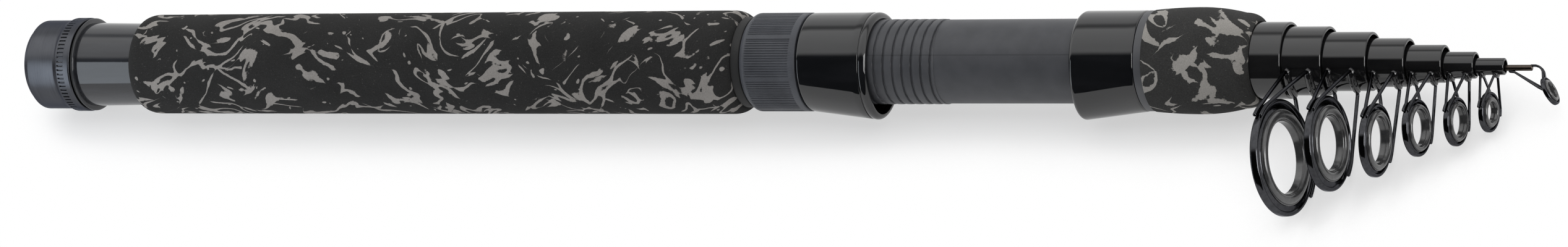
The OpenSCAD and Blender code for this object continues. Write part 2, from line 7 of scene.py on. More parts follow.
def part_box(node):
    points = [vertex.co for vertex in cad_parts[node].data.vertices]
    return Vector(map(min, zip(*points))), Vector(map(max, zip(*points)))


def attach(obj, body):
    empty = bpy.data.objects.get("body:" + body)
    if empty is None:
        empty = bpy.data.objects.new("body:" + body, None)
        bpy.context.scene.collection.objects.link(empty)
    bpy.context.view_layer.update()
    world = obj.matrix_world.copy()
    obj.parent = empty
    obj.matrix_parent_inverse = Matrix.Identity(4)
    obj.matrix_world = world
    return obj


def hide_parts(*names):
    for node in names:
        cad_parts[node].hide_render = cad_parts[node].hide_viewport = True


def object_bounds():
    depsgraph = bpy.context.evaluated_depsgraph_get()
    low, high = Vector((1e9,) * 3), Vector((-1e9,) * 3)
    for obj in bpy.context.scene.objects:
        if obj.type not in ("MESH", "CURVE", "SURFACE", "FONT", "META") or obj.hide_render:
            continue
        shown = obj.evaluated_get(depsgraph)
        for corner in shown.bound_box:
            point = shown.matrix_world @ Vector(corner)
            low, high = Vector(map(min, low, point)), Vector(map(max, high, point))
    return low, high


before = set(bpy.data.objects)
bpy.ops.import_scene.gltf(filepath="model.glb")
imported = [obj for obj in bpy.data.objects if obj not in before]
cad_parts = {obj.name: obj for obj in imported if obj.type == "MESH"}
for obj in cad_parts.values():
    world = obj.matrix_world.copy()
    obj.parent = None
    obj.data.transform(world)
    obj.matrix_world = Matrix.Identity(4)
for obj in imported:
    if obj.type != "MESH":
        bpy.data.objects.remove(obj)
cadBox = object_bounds()
scene = bpy.context.scene
mm = 0.001
print("frame loaded:", len(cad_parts), "nodes")


# a socket that can be used in plain arithmetic
class Signal:
    def __init__(self, tree, socket=None):
        self.tree = tree
        self.socket = socket

    # settings are set first, then each socket gets its value, its link or its several links
    def make(self, kind, settings=None, sockets=None, output=0):
        node = self.tree.nodes.new(kind)
        for key, value in (settings or {}).items():
            setattr(node, key, value)
        for key, value in (sockets or {}).items():
            several = isinstance(value, tuple) and isinstance(value[0], Signal)
            for source in value if several else (value,):
                if isinstance(source, Signal):
                    self.tree.links.new(source.socket, node.inputs[key])
                else:
                    node.inputs[key].default_value = source
        return Signal(self.tree, node.outputs[output])

    def math(self, operation, *values):
        return self.make("ShaderNodeMath", {"operation": operation}, dict(enumerate(values)))

    def __add__(self, other):
        return self.math("ADD", self, other)

    def __radd__(self, other):
        return self.math("ADD", other, self)

    def __sub__(self, other):
        return self.math("SUBTRACT", self, other)

    def __rsub__(self, other):
        return self.math("SUBTRACT", other, self)

    def __mul__(self, other):
        return self.math("MULTIPLY", self, other)

    def __rmul__(self, other):
        return self.math("MULTIPLY", other, self)

    def __truediv__(self, other):
        return self.math("DIVIDE", self, other)

    def __rtruediv__(self, other):
        return self.math("DIVIDE", other, self)

    def __abs__(self):
        return self.math("ABSOLUTE", self)

    def root(self):
        return self.math("SQRT", self)

    def least(self, other):
        return self.math("MINIMUM", self, other)

    def most(self, other):
        return self.math("MAXIMUM", self, other)

    # 0 below low, 1 above high, eased between
    def rise(self, low, high):
        return self.make("ShaderNodeMapRange", {"interpolation_type": "SMOOTHSTEP"},
                         {0: self, 1: low, 2: high, 3: 0.0, 4: 1.0})

    # 1 from low to high, eased to 0 inside both ends
    def between(self, low, high, ease):
        return self.rise(low, low + ease) * (1.0 - self.rise(high - ease, high))

    def vector(self, operation, other, output=0):
        return self.make("ShaderNodeVectorMath", {"operation": operation}, {0: self, 1: other}, output)

    def scaled(self, factor):
        return self.make("ShaderNodeVectorMath", {"operation": "SCALE"}, {0: self, "Scale": factor})

    def parts(self):
        split = self.make("ShaderNodeSeparateXYZ", {}, {0: self})
        return [Signal(self.tree, out) for out in split.socket.node.outputs]

    def blend(self, low, high):
        return self.make("ShaderNodeMix", {"data_type": "RGBA"}, {0: self, 6: low, 7: high}, 2)

    def tone(self, low, high, ends=(0.3, 0.7)):
        return self.rise(*ends).blend(low, high)


# Shapes

onAxis = 1e-6  # a ring smaller than this is one point


def link(name, mesh, finish, smoothAngle=32):
    mesh.materials.clear()
    mesh.materials.append(finish)
    mesh.shade_smooth()
    mesh.set_sharp_from_angle(angle=radians(smoothAngle))
    piece = bpy.data.objects.new(name, mesh)
    scene.collection.objects.link(piece)
    return piece


def bow(x, r, length, depth, start, end, steps):
    turns = [radians(start + (end - start) * i / steps) for i in range(steps + 1)]
    return [(x + length * cos(a), r + depth * sin(a)) for a in turns]


# quarter rounds where a section turns in at its rear or its front end
def rearRound(x, r, edge, steps, depth=None):
    depth = depth or edge
    return bow(x + edge, r - depth, edge, depth, 180, 90, steps)


def frontRound(x, r, edge, steps, depth=None):
    depth = depth or edge
    return bow(x - edge, r - depth, edge, depth, 90, 0, steps)


# faces between two rings of points, one of which may be a single point
def skin(form, ring, after):
    sides = max(len(ring), len(after))
    for i in range(sides if sides > 1 else 0):
        j = (i + 1) % sides
        corners = [ring[i % len(ring)], ring[j % len(ring)], after[j % len(after)], after[i % len(after)]]
        form.faces.new(list(dict.fromkeys(corners)))


# closed section of (x, radius) or (x, radius, flare), turned about the X axis, all in mm
def turnedMesh(name, section, sides, place=None):
    form = bmesh.new()
    rings = []
    for x, r, *rest in section:
        flare = rest[0] if rest else 0
        ring = []
        for i in range(1 if r < onAxis else sides):
            a = (i + 0.5) * 2 * pi / sides
            y = r * cos(a) - flare * min(cos(a), 0) ** 2
            ring.append(form.verts.new((x * mm, y * mm, r * sin(a) * mm)))
        rings.append(ring)
    for ring, after in zip(rings, rings[1:] + rings[:1]):
        skin(form, ring, after)
    return closedMesh(name, form, place)


def closedMesh(name, form, place):
    bmesh.ops.recalc_face_normals(form, faces=form.faces)
    if place is not None:
        form.transform(place)
    mesh = bpy.data.meshes.new(name)
    form.to_mesh(mesh)
    form.free()
    return mesh


def turned(name, section, sides, finish, smoothAngle=32, place=None):
    return link(name, turnedMesh(name, section, sides, place), finish, smoothAngle)


# the corners of a node's box and half its height, in mm
def nodeFacts(node):
    low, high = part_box(node)
    low, high = low / mm, high / mm
    return low, high, (high.z - low.z) / 2


# Finishes

# a finish with the inputs that are the same all over
def plainFinish(name, **fixed):
    finish = bpy.data.materials.new(name)
    finish.use_nodes = True
    shader = finish.node_tree.nodes["Principled BSDF"]
    for key, value in fixed.items():
        shader.inputs[key.replace("_", " ")].default_value = value
    return finish, shader


def finishTree(name, **fixed):
    finish, shader = plainFinish(name, **fixed)
    spot = Signal(finish.node_tree).make("ShaderNodeTexCoord", output="Object").scaled(1 / mm)
    return finish, spot, shader


def feed(shader, **signals):
    for key, signal in signals.items():
        shader.id_data.links.new(signal.socket, shader.inputs[key.replace("_", " ")])


def noise(spot, scale, detail=2.0, rough=0.5, output=0):
    return spot.make("ShaderNodeTexNoise", {}, {"Vector": spot, "Scale": scale, "Detail": detail,
                                                "Roughness": rough}, output)


def bump(height, distance, strength):
    return height.make("ShaderNodeBump", {}, {"Strength": strength, "Distance": distance * mm, "Height": height})


def mixed(one, two, share):
    return one * share + two * (1 - share)


# turns the pattern space as it runs along the rod, so that marks lie on the slant
def wound(spot, slant, lengthwise):
    x, y, z = spot.parts()
    turn = x * slant
    c, s = turn.math("COSINE", turn), turn.math("SINE", turn)
    return x.make("ShaderNodeCombineXYZ", {}, {0: x * lengthwise, 1: y * c - z * s, 2: y * s + z * c})


# in these looks a noise has its scale, detail and roughness, a rise its two ends, a bump its depth and strength
foam = {"shine": 0.18, "swirl": (0.06, 1.0), "swirlBy": 14.0, "ragged": (0.7, 3.0, 0.6), "edge": 0.012,
        "crossSlant": 0.8, "crossGate": 1.2, "gateShare": 0.6, "drawnOut": (0.7, 1.0, 1.0), "fleckEdge": 0.02,
        "grain": (2.6, 2.0, 0.7), "tint": (0.09,), "darkGrain": 0.7, "paleGrain": 0.6, "speck": (1.9, 1.0),
        "speckRise": (0.7, 0.76), "speckShare": 0.14, "rough": 0.8, "grainRough": 0.18, "pore": (4.5, 3.0, 0.65),
        "poreShare": 0.6, "markShare": 0.25, "bump": (0.12, 0.5)}


def camoFoam(name, look):
    finish, spot, shader = finishTree(name, Specular_IOR_Level=foam["shine"])
    place = spot.vector("ADD", (look["offset"], 0, 0))
    swirl = noise(place, *foam["swirl"], output="Color").vector("SUBTRACT", (0.5, 0.5, 0.5))
    bent = place.vector("ADD", swirl.scaled(foam["swirlBy"]))
    drawn = bent.vector("MULTIPLY", foam["drawnOut"])
    ragged = (noise(spot, *foam["ragged"]) - 0.5) * look["ragged"]
    area = noise(place, look["areaScale"], 1.0)
    patches = noise(drawn, look["fleckScale"], 1.0).rise(look["fleckLow"], look["fleckLow"] + foam["fleckEdge"])
    slant, gateScale = look["slant"], look["gateScale"]
    # one layer of ribbons each way round the rod
    for turn, scale, share in ((slant, gateScale, 1.0 - area),
                               (-slant * foam["crossSlant"], gateScale * foam["crossGate"], area)):
        field = noise(wound(bent, turn, look["lengthwise"]), look["patchScale"], 1.0) + ragged
        gate = mixed(noise(drawn, scale, 1.0), share, foam["gateShare"])
        width = gate.rise(*look["gate"]) * look["ribbon"]
        patches = patches.most((width - abs(field - 0.5)).rise(0.0, foam["edge"]))
    grain, tint = noise(spot, *foam["grain"]), noise(spot, *foam["tint"])
    specks = noise(spot, *foam["speck"]).rise(*foam["speckRise"]) * foam["speckShare"]
    dark, pale = (mixed(grain, tint, foam[key + "Grain"]).tone(*look[key]) for key in ("dark", "pale"))
    marks = noise(spot, *foam["pore"]) * foam["poreShare"] + patches * foam["markShare"]
    feed(shader, Base_Color=patches.most(specks).blend(dark, pale),
         Roughness=foam["rough"] + grain * foam["grainRough"], Normal=bump(marks, *foam["bump"]))
    return finish


rearCamo = camoFoam("rearCamo", {
    "offset": 330.0, "slant": 0.045, "lengthwise": 0.4, "patchScale": 0.16, "ragged": 0.06, "areaScale": 0.04,
    "gateScale": 0.1, "gate": (0.505, 0.575), "ribbon": 0.047, "fleckScale": 0.35, "fleckLow": 0.71,
    "dark": ((0.0135, 0.0134, 0.0132, 1), (0.025, 0.0248, 0.0244, 1)),
    "pale": ((0.2, 0.188, 0.176, 1), (0.28, 0.265, 0.25, 1))})
foreCamo = camoFoam("foreCamo", {
    "offset": 4.0, "slant": 0.05, "lengthwise": 0.5, "patchScale": 0.12, "ragged": 0.09, "areaScale": 0.05,
    "gateScale": 0.07, "gate": (0.475, 0.58), "ribbon": 0.068, "fleckScale": 0.25, "fleckLow": 0.73,
    "dark": ((0.024, 0.0238, 0.0232, 1), (0.044, 0.0436, 0.043, 1)),
    "pale": ((0.25, 0.24, 0.223, 1), (0.345, 0.33, 0.31, 1))})

lacquer = {"haze": (0.05, 0.3, 0.3), "dust": (1.4, 1.0), "dustRise": (0.7, 0.78), "dustRough": 0.05,
           "rub": (3.0, 0.35, 0.35), "rubNoise": (1.2, 3.0, 0.6), "rubRough": 0.5, "wave": (0.22, 1.0),
           "bump": (0.02, 0.25)}


def glossLacquer(name, low, high, roughness, ior=1.58):
    finish, spot, shader = finishTree(name, IOR=ior)
    haze = noise(spot.vector("MULTIPLY", lacquer["haze"]), 1.0)
    dust = noise(spot, *lacquer["dust"]).rise(*lacquer["dustRise"])
    rubbed = noise(spot.vector("MULTIPLY", lacquer["rub"]), *lacquer["rubNoise"])
    feed(shader, Base_Color=haze.tone(low, high),
         Roughness=roughness + rubbed * roughness * lacquer["rubRough"] + dust * lacquer["dustRough"],
         Normal=bump(noise(spot, *lacquer["wave"]), *lacquer["bump"]))
    return finish


tubeLacquer = glossLacquer("tubeLacquer", (0.006, 0.006, 0.0065, 1), (0.01, 0.01, 0.0105, 1), 0.05)
hoodGloss = glossLacquer("hoodGloss", (0.0045, 0.005, 0.006, 1), (0.0075, 0.008, 0.0095, 1), 0.035)
sleeveGloss = glossLacquer("sleeveGloss", (0.018, 0.019, 0.022, 1), (0.025, 0.0265, 0.031, 1), 0.05, 1.5)
bindLacquer = glossLacquer("bindLacquer", (0.006, 0.006, 0.007, 1), (0.012, 0.012, 0.013, 1), 0.08)

slate = {"grain": (5.0, 3.0, 0.6), "cloud": (0.16,), "cloudShare": 0.7, "tone": (0.32, 0.68), "grainRough": 0.14,
         "grainStrength": 0.6, "seam": (0.008, 0.022), "seamShade": 0.78}


# seam is the angle round the rod of a moulding line, in degrees
def matteSlate(name, low, high, roughness, grainDepth, shine=0.5, seam=None):
    finish, spot, shader = finishTree(name, Specular_IOR_Level=shine)
    grain, cloud = noise(spot, *slate["grain"]), noise(spot, *slate["cloud"])
    tone = mixed(cloud, grain, slate["cloudShare"]).tone(low, high, slate["tone"])
    if seam is not None:
        x, y, z = spot.parts()
        apart = abs(x.math("ARCTAN2", z, y) - radians(seam))
        shade = [c * slate["seamShade"] for c in low[:3]] + [1]
        tone = apart.rise(*slate["seam"]).blend(shade, tone)
    feed(shader, Base_Color=tone, Roughness=roughness + grain * slate["grainRough"],
         Normal=bump(grain, grainDepth, slate["grainStrength"]))
    return finish


nutSlate = matteSlate("nutSlate", (0.05, 0.053, 0.062, 1), (0.067, 0.071, 0.082, 1), 0.42, 0.03, 0.34)
barrelSlate = matteSlate("barrelSlate", (0.047, 0.049, 0.055, 1), (0.062, 0.064, 0.071, 1), 0.42, 0.02, 0.36, 122)
ringSlate = matteSlate("ringSlate", (0.055, 0.057, 0.063, 1), (0.07, 0.072, 0.079, 1), 0.4, 0.02)
softRubber = matteSlate("softRubber", (0.006, 0.006, 0.006, 1), (0.012, 0.012, 0.012, 1), 0.62, 0.05)

metal = {"streak": 0.12, "brush": (1.0, 3.0, 0.65), "brushShare": 0.6, "cloud": (0.12,),
         "brushRough": 0.16, "bump": (0.012, 0.6)}


# lines is how many brush lines run round the rod in a millimetre, none on the bent pieces
def brushedMetal(name, low, high, roughness, lines=None, edge=(1, 1, 1, 1)):
    finish, spot, shader = finishTree(name, Metallic=1.0, Specular_Tint=edge)
    streak = spot.vector("MULTIPLY", (lines, metal["streak"], metal["streak"])) if lines else spot
    brush, cloud = noise(streak, *metal["brush"]), noise(spot, *metal["cloud"])
    feed(shader, Base_Color=mixed(brush, cloud, metal["brushShare"]).tone(low, high),
         Roughness=roughness + (brush - 0.5) * metal["brushRough"], Normal=bump(brush, *metal["bump"]))
    return finish


capMetal = brushedMetal("capMetal", (0.056, 0.058, 0.065, 1), (0.088, 0.091, 0.1, 1), 0.34, 9.0, (0.45, 0.46, 0.5, 1))
studChrome = brushedMetal("studChrome", (0.5, 0.5, 0.52, 1), (0.62, 0.62, 0.64, 1), 0.18, 6.0)
tipBronze = brushedMetal("tipBronze", (0.055, 0.045, 0.038, 1), (0.085, 0.07, 0.06, 1), 0.3, 4.0)
rimChrome = brushedMetal("rimChrome", (0.034, 0.0345, 0.037, 1), (0.06, 0.061, 0.066, 1), 0.1,
                         edge=(0.6, 0.6, 0.62, 1))
wireChrome = brushedMetal("wireChrome", (0.034, 0.0345, 0.037, 1), (0.058, 0.059, 0.063, 1), 0.14,
                          edge=(0.5, 0.5, 0.52, 1))

glaze = {"ior": 1.7, "colours": ((0.036, 0.036, 0.037, 1), (0.056, 0.056, 0.057, 1)), "cloud": (0.5,),
         "speck": (6.0, 1.0), "speckRise": (0.66, 0.74), "rough": 0.14, "cloudRough": 0.1,
         "speckRough": 0.08, "wave": (3.0,), "bump": (0.01, 0.3)}


def polishedCeramic(name):
    finish, spot, shader = finishTree(name, IOR=glaze["ior"])
    cloud = noise(spot, *glaze["cloud"])
    speck = noise(spot, *glaze["speck"]).rise(*glaze["speckRise"])
    feed(shader, Base_Color=cloud.tone(*glaze["colours"]),
         Roughness=glaze["rough"] + cloud * glaze["cloudRough"] + speck * glaze["speckRough"],
         Normal=bump(noise(spot, *glaze["wave"]), *glaze["bump"]))
    return finish


ceramic = polishedCeramic("ringCeramic")
print("finishes made:", len(bpy.data.materials))


# Geometry trees

def growTree(name, inputs):
    tree = bpy.data.node_groups.new(name, "GeometryNodeTree")
    sockets = tree.interface
    sockets.new_socket("Geometry", in_out="INPUT", socket_type="NodeSocketGeometry")
    ids = {}
    for label, kind in inputs.items():
        made = sockets.new_socket(label, in_out="INPUT", socket_type="NodeSocket" + kind)
        ids[label] = made.identifier
    sockets.new_socket("Geometry", in_out="OUTPUT", socket_type="NodeSocketGeometry")
    entry = tree.nodes.new("NodeGroupInput")
    given = {out.name: Signal(tree, out) for out in entry.outputs if out.name}
    return tree, ids, given


def closeTree(tree, made, finish):
    made = made.make("GeometryNodeRealizeInstances", {}, {0: made})
    made = made.make("GeometryNodeSetMaterial", {}, {"Geometry": made, "Material": finish})
    exitNode = tree.nodes.new("NodeGroupOutput")
    tree.links.new(made.socket, exitNode.inputs[0])


# runs a tree on a mesh and returns the plain result
def grown(name, mesh, grow, values, finish, smoothAngle=32):
    tree, ids = grow
    seed = bpy.data.objects.new(name + "Seed", mesh)
    scene.collection.objects.link(seed)
    step = seed.modifiers.new("grow", "NODES")
    step.node_group = tree
    for label, value in values.items():
        step[ids[label]] = value
    depsgraph = bpy.context.evaluated_depsgraph_get()
    made = bpy.data.meshes.new_from_object(seed.evaluated_get(depsgraph))
    bpy.data.objects.remove(seed)
    made.name = name
    return link(name, made, finish, smoothAngle)


# a point's place and how far it is from the X axis
def aboutX(spot):
    x, y, z = spot.parts()
    return x, y, z, (y * y + z * z).root()


# moves points towards the X axis by a depth
def pressedIn(given, spot, depth):
    _, y, z, radius = aboutX(spot)
    offset = spot.make("ShaderNodeCombineXYZ", {}, {1: 0.0 - y / radius * depth, 2: 0.0 - z / radius * depth})
    return spot.make("GeometryNodeSetPosition", {}, {"Geometry": given["Geometry"], "Offset": offset})


groove = {"flat": 0.3, "edge": 0.62}  # shares of a groove's width


# groups of grooves along the rod, spaced round it
def grooveTree(finish):
    labels = ("groups", "perGroup", "step", "width", "depth", "from", "to", "ease")
    tree, ids, given = growTree("lengthwiseGrooves" + finish.name, dict.fromkeys(labels, "Float"))
    spot = given["groups"].make("GeometryNodeInputPosition")
    x, y, z, radius = aboutX(spot)
    share = 2 * pi / given["groups"]
    angle = spot.math("FLOORED_MODULO", spot.math("ARCTAN2", z, y), share)
    nearest = spot.math("ROUND", angle / given["step"]).least(given["perGroup"] - 1.0).most(0.0)
    apart = abs(angle - nearest * given["step"])
    apart = apart.least(share - apart) * radius
    cut = 1.0 - apart.rise(given["width"] * groove["flat"], given["width"] * groove["edge"])
    along = x.between(given["from"], given["to"], given["ease"])
    closeTree(tree, pressedIn(given, spot, cut * along * given["depth"]), finish)
    return tree, ids


def grooved(name, section, sides, look, start, end, finish):
    values = {key: look[key] * mm for key in ("width", "depth", "ease")}
    values.update({"groups": float(look["groups"]), "perGroup": float(look["perGroup"]),
                   "step": radians(look["step"]), "from": start * mm, "to": end * mm})
    return grown(name, turnedMesh(name, section, sides), grooveTree(finish), values, finish)


# shares of the half width, the depth, the pitch and the key's width, and a fade in mm
thread = {"flat": 0.45, "crown": 0.15, "fade": 0.1, "keyFlat": 0.47, "keyEdge": 0.5, "keyFade": 0.1}


# a thread round the barrel, and the key slot along it
def threadTree(finish):
    labels = ("pitch", "start", "depth", "halfWidth", "from", "to",
              "keyTurn", "keyWidth", "keyDepth", "keyFrom", "keyTo")
    tree, ids, given = growTree("seatThread", dict.fromkeys(labels, "Float"))
    pitch, half, keyWidth = given["pitch"], given["halfWidth"], given["keyWidth"]
    spot = pitch.make("GeometryNodeInputPosition")
    x, y, z, radius = aboutX(spot)
    angle = spot.math("ARCTAN2", z, y)
    phase = (x - given["from"]) / pitch + angle / (2 * pi) - given["start"]
    apart = abs(phase - spot.math("ROUND", phase)) * pitch
    crown = 1.0 - apart / (pitch * 0.5)
    turn = (1.0 - apart.rise(half * thread["flat"], half)).most(crown * crown * thread["crown"])
    turn = turn * x.between(given["from"], given["to"], pitch * thread["fade"])
    key = (abs(angle - given["keyTurn"]) * radius).rise(keyWidth * thread["keyFlat"], keyWidth * thread["keyEdge"])
    key = (1.0 - key) * x.between(given["keyFrom"], given["keyTo"], thread["keyFade"] * mm)
    depth = (turn * given["depth"]).most(key * given["keyDepth"])
    closeTree(tree, pressedIn(given, spot, depth), finish)
    return tree, ids


wireShape = {"bendPoints": 5, "ballRings": 8}


# round wire with ball ends along each chain of edges
def wireTree(finish):
    tree, ids, given = growTree("bentWire" + finish.name, {"Radius": "Float", "Bend": "Float", "Sides": "Int"})
    sides, radius = given["Sides"], given["Radius"]
    line = radius.make("GeometryNodeMeshToCurve", {}, {0: given["Geometry"]})
    line = line.make("GeometryNodeFilletCurve", {"mode": "POLY"},
                     {"Curve": line, "Radius": given["Bend"], "Limit Radius": True, "Count": wireShape["bendPoints"]})
    outline = line.make("GeometryNodeCurvePrimitiveCircle", {}, {"Resolution": sides, "Radius": radius})
    tube = line.make("GeometryNodeCurveToMesh", {}, {"Curve": line, "Profile Curve": outline, "Fill Caps": True})
    ends = line.make("GeometryNodeCurveEndpointSelection", {}, {"Start Size": 1, "End Size": 1})
    ball = line.make("GeometryNodeMeshUVSphere", {},
                     {"Segments": sides, "Rings": wireShape["ballRings"], "Radius": radius})
    balls = line.make("GeometryNodeInstanceOnPoints", {}, {"Points": line, "Selection": ends, "Instance": ball})
    closeTree(tree, line.make("GeometryNodeJoinGeometry", {}, {0: (tube, balls)}), finish)
    return tree, ids


# wires of one radius along paths in mm
def bentWires(name, paths, wireR, look, base):
    points, edges = [], []
    for path in paths:
        placed = [base @ (Vector(p) * mm) / mm for p in path]
        edges += [(len(points) + i, len(points) + i + 1) for i in range(len(path) - 1)]
        points += [tuple(c * mm for c in p) for p in placed]
    mesh = bpy.data.meshes.new(name)
    mesh.from_pydata(points, edges, [])
    values = {"Radius": wireR * mm, "Bend": wireR * look["bend"] * mm, "Sides": look["wireSides"]}
    return grown(name, mesh, chromeWire, values, wireChrome, 60)


chromeWire = wireTree(wireChrome)


# Handle

grip = {"round": 4.5, "roundDepth": 2.3, "sides": 160, "frontTrim": 1.4, "rearBore": 12.9, "frontBore": 11.8}


def rearGrip():
    low, high, r = nodeFacts("rear_grip")
    frontX = high.x - grip["frontTrim"]
    section = [(low.x, grip["rearBore"])] + rearRound(low.x, r, grip["round"], 12, grip["roundDepth"])
    section += frontRound(frontX, r, grip["round"], 12, grip["roundDepth"]) + [(frontX, grip["frontBore"])]
    piece = turned("rearGrip", section, grip["sides"], rearCamo)
    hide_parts("rear_grip")
    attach(piece, "handle")


swell = {"rear": 29.7, "peak": 31.0, "front": 27.7, "peakAt": 13.8, "bore": 11.3, "steps": 10}


def foreGrip():
    low, high, _ = nodeFacts("fore_grip")
    peakX, peakR = low.x + swell["peakAt"], swell["peak"] / 2
    frontR, steps = swell["front"] / 2, swell["steps"]

    def fallen(endX, endR, share):
        return peakX + (endX - peakX) * share, peakR + (endR - peakR) * share * share

    section = [(low.x, swell["bore"])]
    section += [fallen(low.x, swell["rear"] / 2, 1 - i / steps) for i in range(steps + 1)]
    section += [fallen(high.x - grip["round"], frontR, i / steps) for i in range(1, steps)]
    section += frontRound(high.x, frontR, grip["round"], 12, grip["roundDepth"]) + [(high.x, swell["bore"])]
    piece = turned("foreGrip", section, grip["sides"], foreCamo, 40)
    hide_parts("fore_grip")
    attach(piece, "handle")


gripRing = {"bore": 11.9, "edge": 0.3, "back": grip["frontTrim"]}
hoodRing = {"bore": 11.4, "edge": 0.2, "back": 0.0}


def trimRing(node, look, finish):
    low, high, r = nodeFacts(node)
    rearX, edge = low.x - look["back"], look["edge"]
    section = [(rearX, look["bore"])] + rearRound(rearX, r, edge, 5)
    section += frontRound(high.x, r, edge, 5) + [(high.x, look["bore"])]
    piece = turned(node + "Fine", section, grip["sides"], finish)
    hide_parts(node)
    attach(piece, "handle")


# a turn of the cap's thread is points along it with their depth
sleeve = {"flange": 29.2, "flangeLength": 0.7, "edge": 0.25, "filletFrom": 82, "rear": 26.3, "front": 25.7,
          "relief": (0.4, 0.01), "sealGap": 0.05, "rearBore": 11.8, "frontBore": 11.7, "chamfer": 0.4,
          "thread": 25.0, "pitch": 2.0, "turn": [(0, 0), (0.7, 0), (1.0, 0.35), (1.7, 0.35)], "runOut": 1.2}


def buttSleeve():
    low, high, _ = nodeFacts("butt_sleeve")
    flangeX, gripX = nodeFacts("cap_seal")[1].x + sleeve["sealGap"], nodeFacts("rear_grip")[0].x
    flangeR, rearR, frontR, crestR = (sleeve[key] / 2 for key in ("flange", "rear", "front", "thread"))
    edge, length, (reliefX, reliefR) = sleeve["edge"], sleeve["flangeLength"], sleeve["relief"]
    section = [(low.x, sleeve["rearBore"]), (low.x, crestR - sleeve["chamfer"])]
    x = low.x + sleeve["chamfer"]
    while x < flangeX - sleeve["runOut"]:
        section += [(x + along, crestR - depth) for along, depth in sleeve["turn"]]
        x += sleeve["pitch"]
    section += [(x, crestR), (flangeX, crestR)] + rearRound(flangeX, flangeR, edge, 8)
    section += bow(flangeX + edge, rearR, length - edge, flangeR - rearR, sleeve["filletFrom"], 0, 14)
    section += [(flangeX + length + reliefX, rearR - reliefR), (gripX, frontR), (high.x, frontR),
                (high.x, sleeve["frontBore"])]
    piece = turned("buttSleeve", section, grip["sides"], sleeveGloss, 40)
    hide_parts("butt_sleeve")
    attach(piece, "handle")


seat = {"thread": 25.2, "barrel": 24.8, "pitch": 3.0, "start": 0.21, "depth": 0.6, "halfWidth": 0.45,
        "threadBack": 1.5, "threadShow": 20.3, "runOut": 0.3, "stepAt": 0.4, "grain": 0.15, "grainFrom": 0.5,
        "keyWidth": 3.0, "keyDepth": 0.4, "turn": 28, "rearBore": 11.9, "frontBore": 11.4, "chamfer": 0.4,
        "sides": 128}


def seatBarrel():
    low, high, _ = nodeFacts("seat_barrel")
    keyFrom, keyTo = nodeFacts("lock_nut")[0].x, nodeFacts("front_hood")[0].x
    threadTo = nodeFacts("sliding_hood")[1].x + seat["threadShow"]
    endX, grainX, grain = threadTo + seat["runOut"], low.x + seat["grainFrom"], seat["grain"]
    threadR, barrelR, chamfer = seat["thread"] / 2, seat["barrel"] / 2, seat["chamfer"]
    section = [(low.x, seat["rearBore"]), (low.x, threadR - chamfer), (low.x + chamfer, threadR)]
    section += [(grainX + grain * i, threadR) for i in range(int((endX - grainX) / grain) + 1)]
    section += [(x, barrelR) for x in (threadTo + seat["stepAt"], keyTo, high.x)] + [(high.x, seat["frontBore"])]
    values = {key: seat[key] * mm for key in ("pitch", "depth", "halfWidth", "keyWidth", "keyDepth")}
    values.update({"start": seat["start"], "from": (keyFrom + seat["threadBack"]) * mm, "to": endX * mm,
                   "keyTurn": radians(seat["turn"]), "keyFrom": keyFrom * mm, "keyTo": keyTo * mm})
    mesh = turnedMesh("seatBarrel", section, seat["sides"])
    piece = grown("seatBarrel", mesh, threadTree(barrelSlate), values, barrelSlate, 28)
    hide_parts("seat_barrel")
    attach(piece, "handle")


# the groove is points along the hood with their depth, the mouth's ease shares of its inner edge
hood = {"outer": 29.4, "flare": 2.8, "frontTrim": 1.1, "lip": 0.9, "mouthLip": 1.5, "mouthEdge": 0.35,
        "mouthEase": [(0, 1), (0.3, 0.3)], "pocketLength": 14.0, "pocketHeight": 3.1, "grooveBack": 2.6,
        "groove": [(-0.15, 0), (0, 0.1), (0.05, 0.25), (0.3, 0.25), (0.35, 0.1), (0.5, 0)],
        "turn": 28, "slideGap": 0.08, "fixedGap": 0.02, "sides": 180}


# a hood from its round end at x = 0 to its mouth, with the pocket for the reel foot
def hoodSection(length, bore, hasGroove):
    r, lip, grooveX = hood["outer"] / 2, hood["lip"], length - hood["grooveBack"]
    edge, pocket, height = hood["mouthEdge"], hood["pocketLength"], hood["pocketHeight"]

    def outer(x, radius):
        return (x, radius, hood["flare"] * x / length)

    def inner(x):
        return (x, bore, max(0.0, (x - length + pocket) * height / pocket))

    section = [outer(x, y) for x, y in rearRound(0, r, lip, 8)]
    section += [outer(lip + (grooveX - lip) * i / 8, r) for i in range(1, 8)]
    if hasGroove:
        section += [outer(grooveX + x, r - depth) for x, depth in hood["groove"]]
    section += [outer(x, y) for x, y in frontRound(length, r, hood["mouthLip"], 12)]
    section += [(length - edge * x, bore + edge * y, height - edge * y) for x, y in hood["mouthEase"]]
    section += [inner(x) for x in (length - edge, length - pocket / 2, length - pocket, 0.0)]
    return section


def hoods():
    turn = Matrix.Rotation(radians(hood["turn"]), 4, "X")
    low, high, _ = nodeFacts("sliding_hood")
    place = turn @ Matrix.Translation((low.x * mm, 0, 0))
    section = hoodSection(high.x - low.x, seat["thread"] / 2 + hood["slideGap"], True)
    piece = turned("slidingHood", section, hood["sides"], hoodGloss, 40, place)
    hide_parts("sliding_hood")
    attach(piece, "sliding_hood")
    low, high, _ = nodeFacts("front_hood")
    length = high.x - low.x - hood["frontTrim"]
    section = hoodSection(length, seat["barrel"] / 2 + hood["fixedGap"], False)
    section = [(length - p[0], *p[1:]) for p in section]  # its mouth looks back at the other's
    place = turn @ Matrix.Translation(((high.x - length) * mm, 0, 0))
    piece = turned("frontHood", section, hood["sides"], hoodGloss, 40, place)
    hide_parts("front_hood")
    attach(piece, "handle")


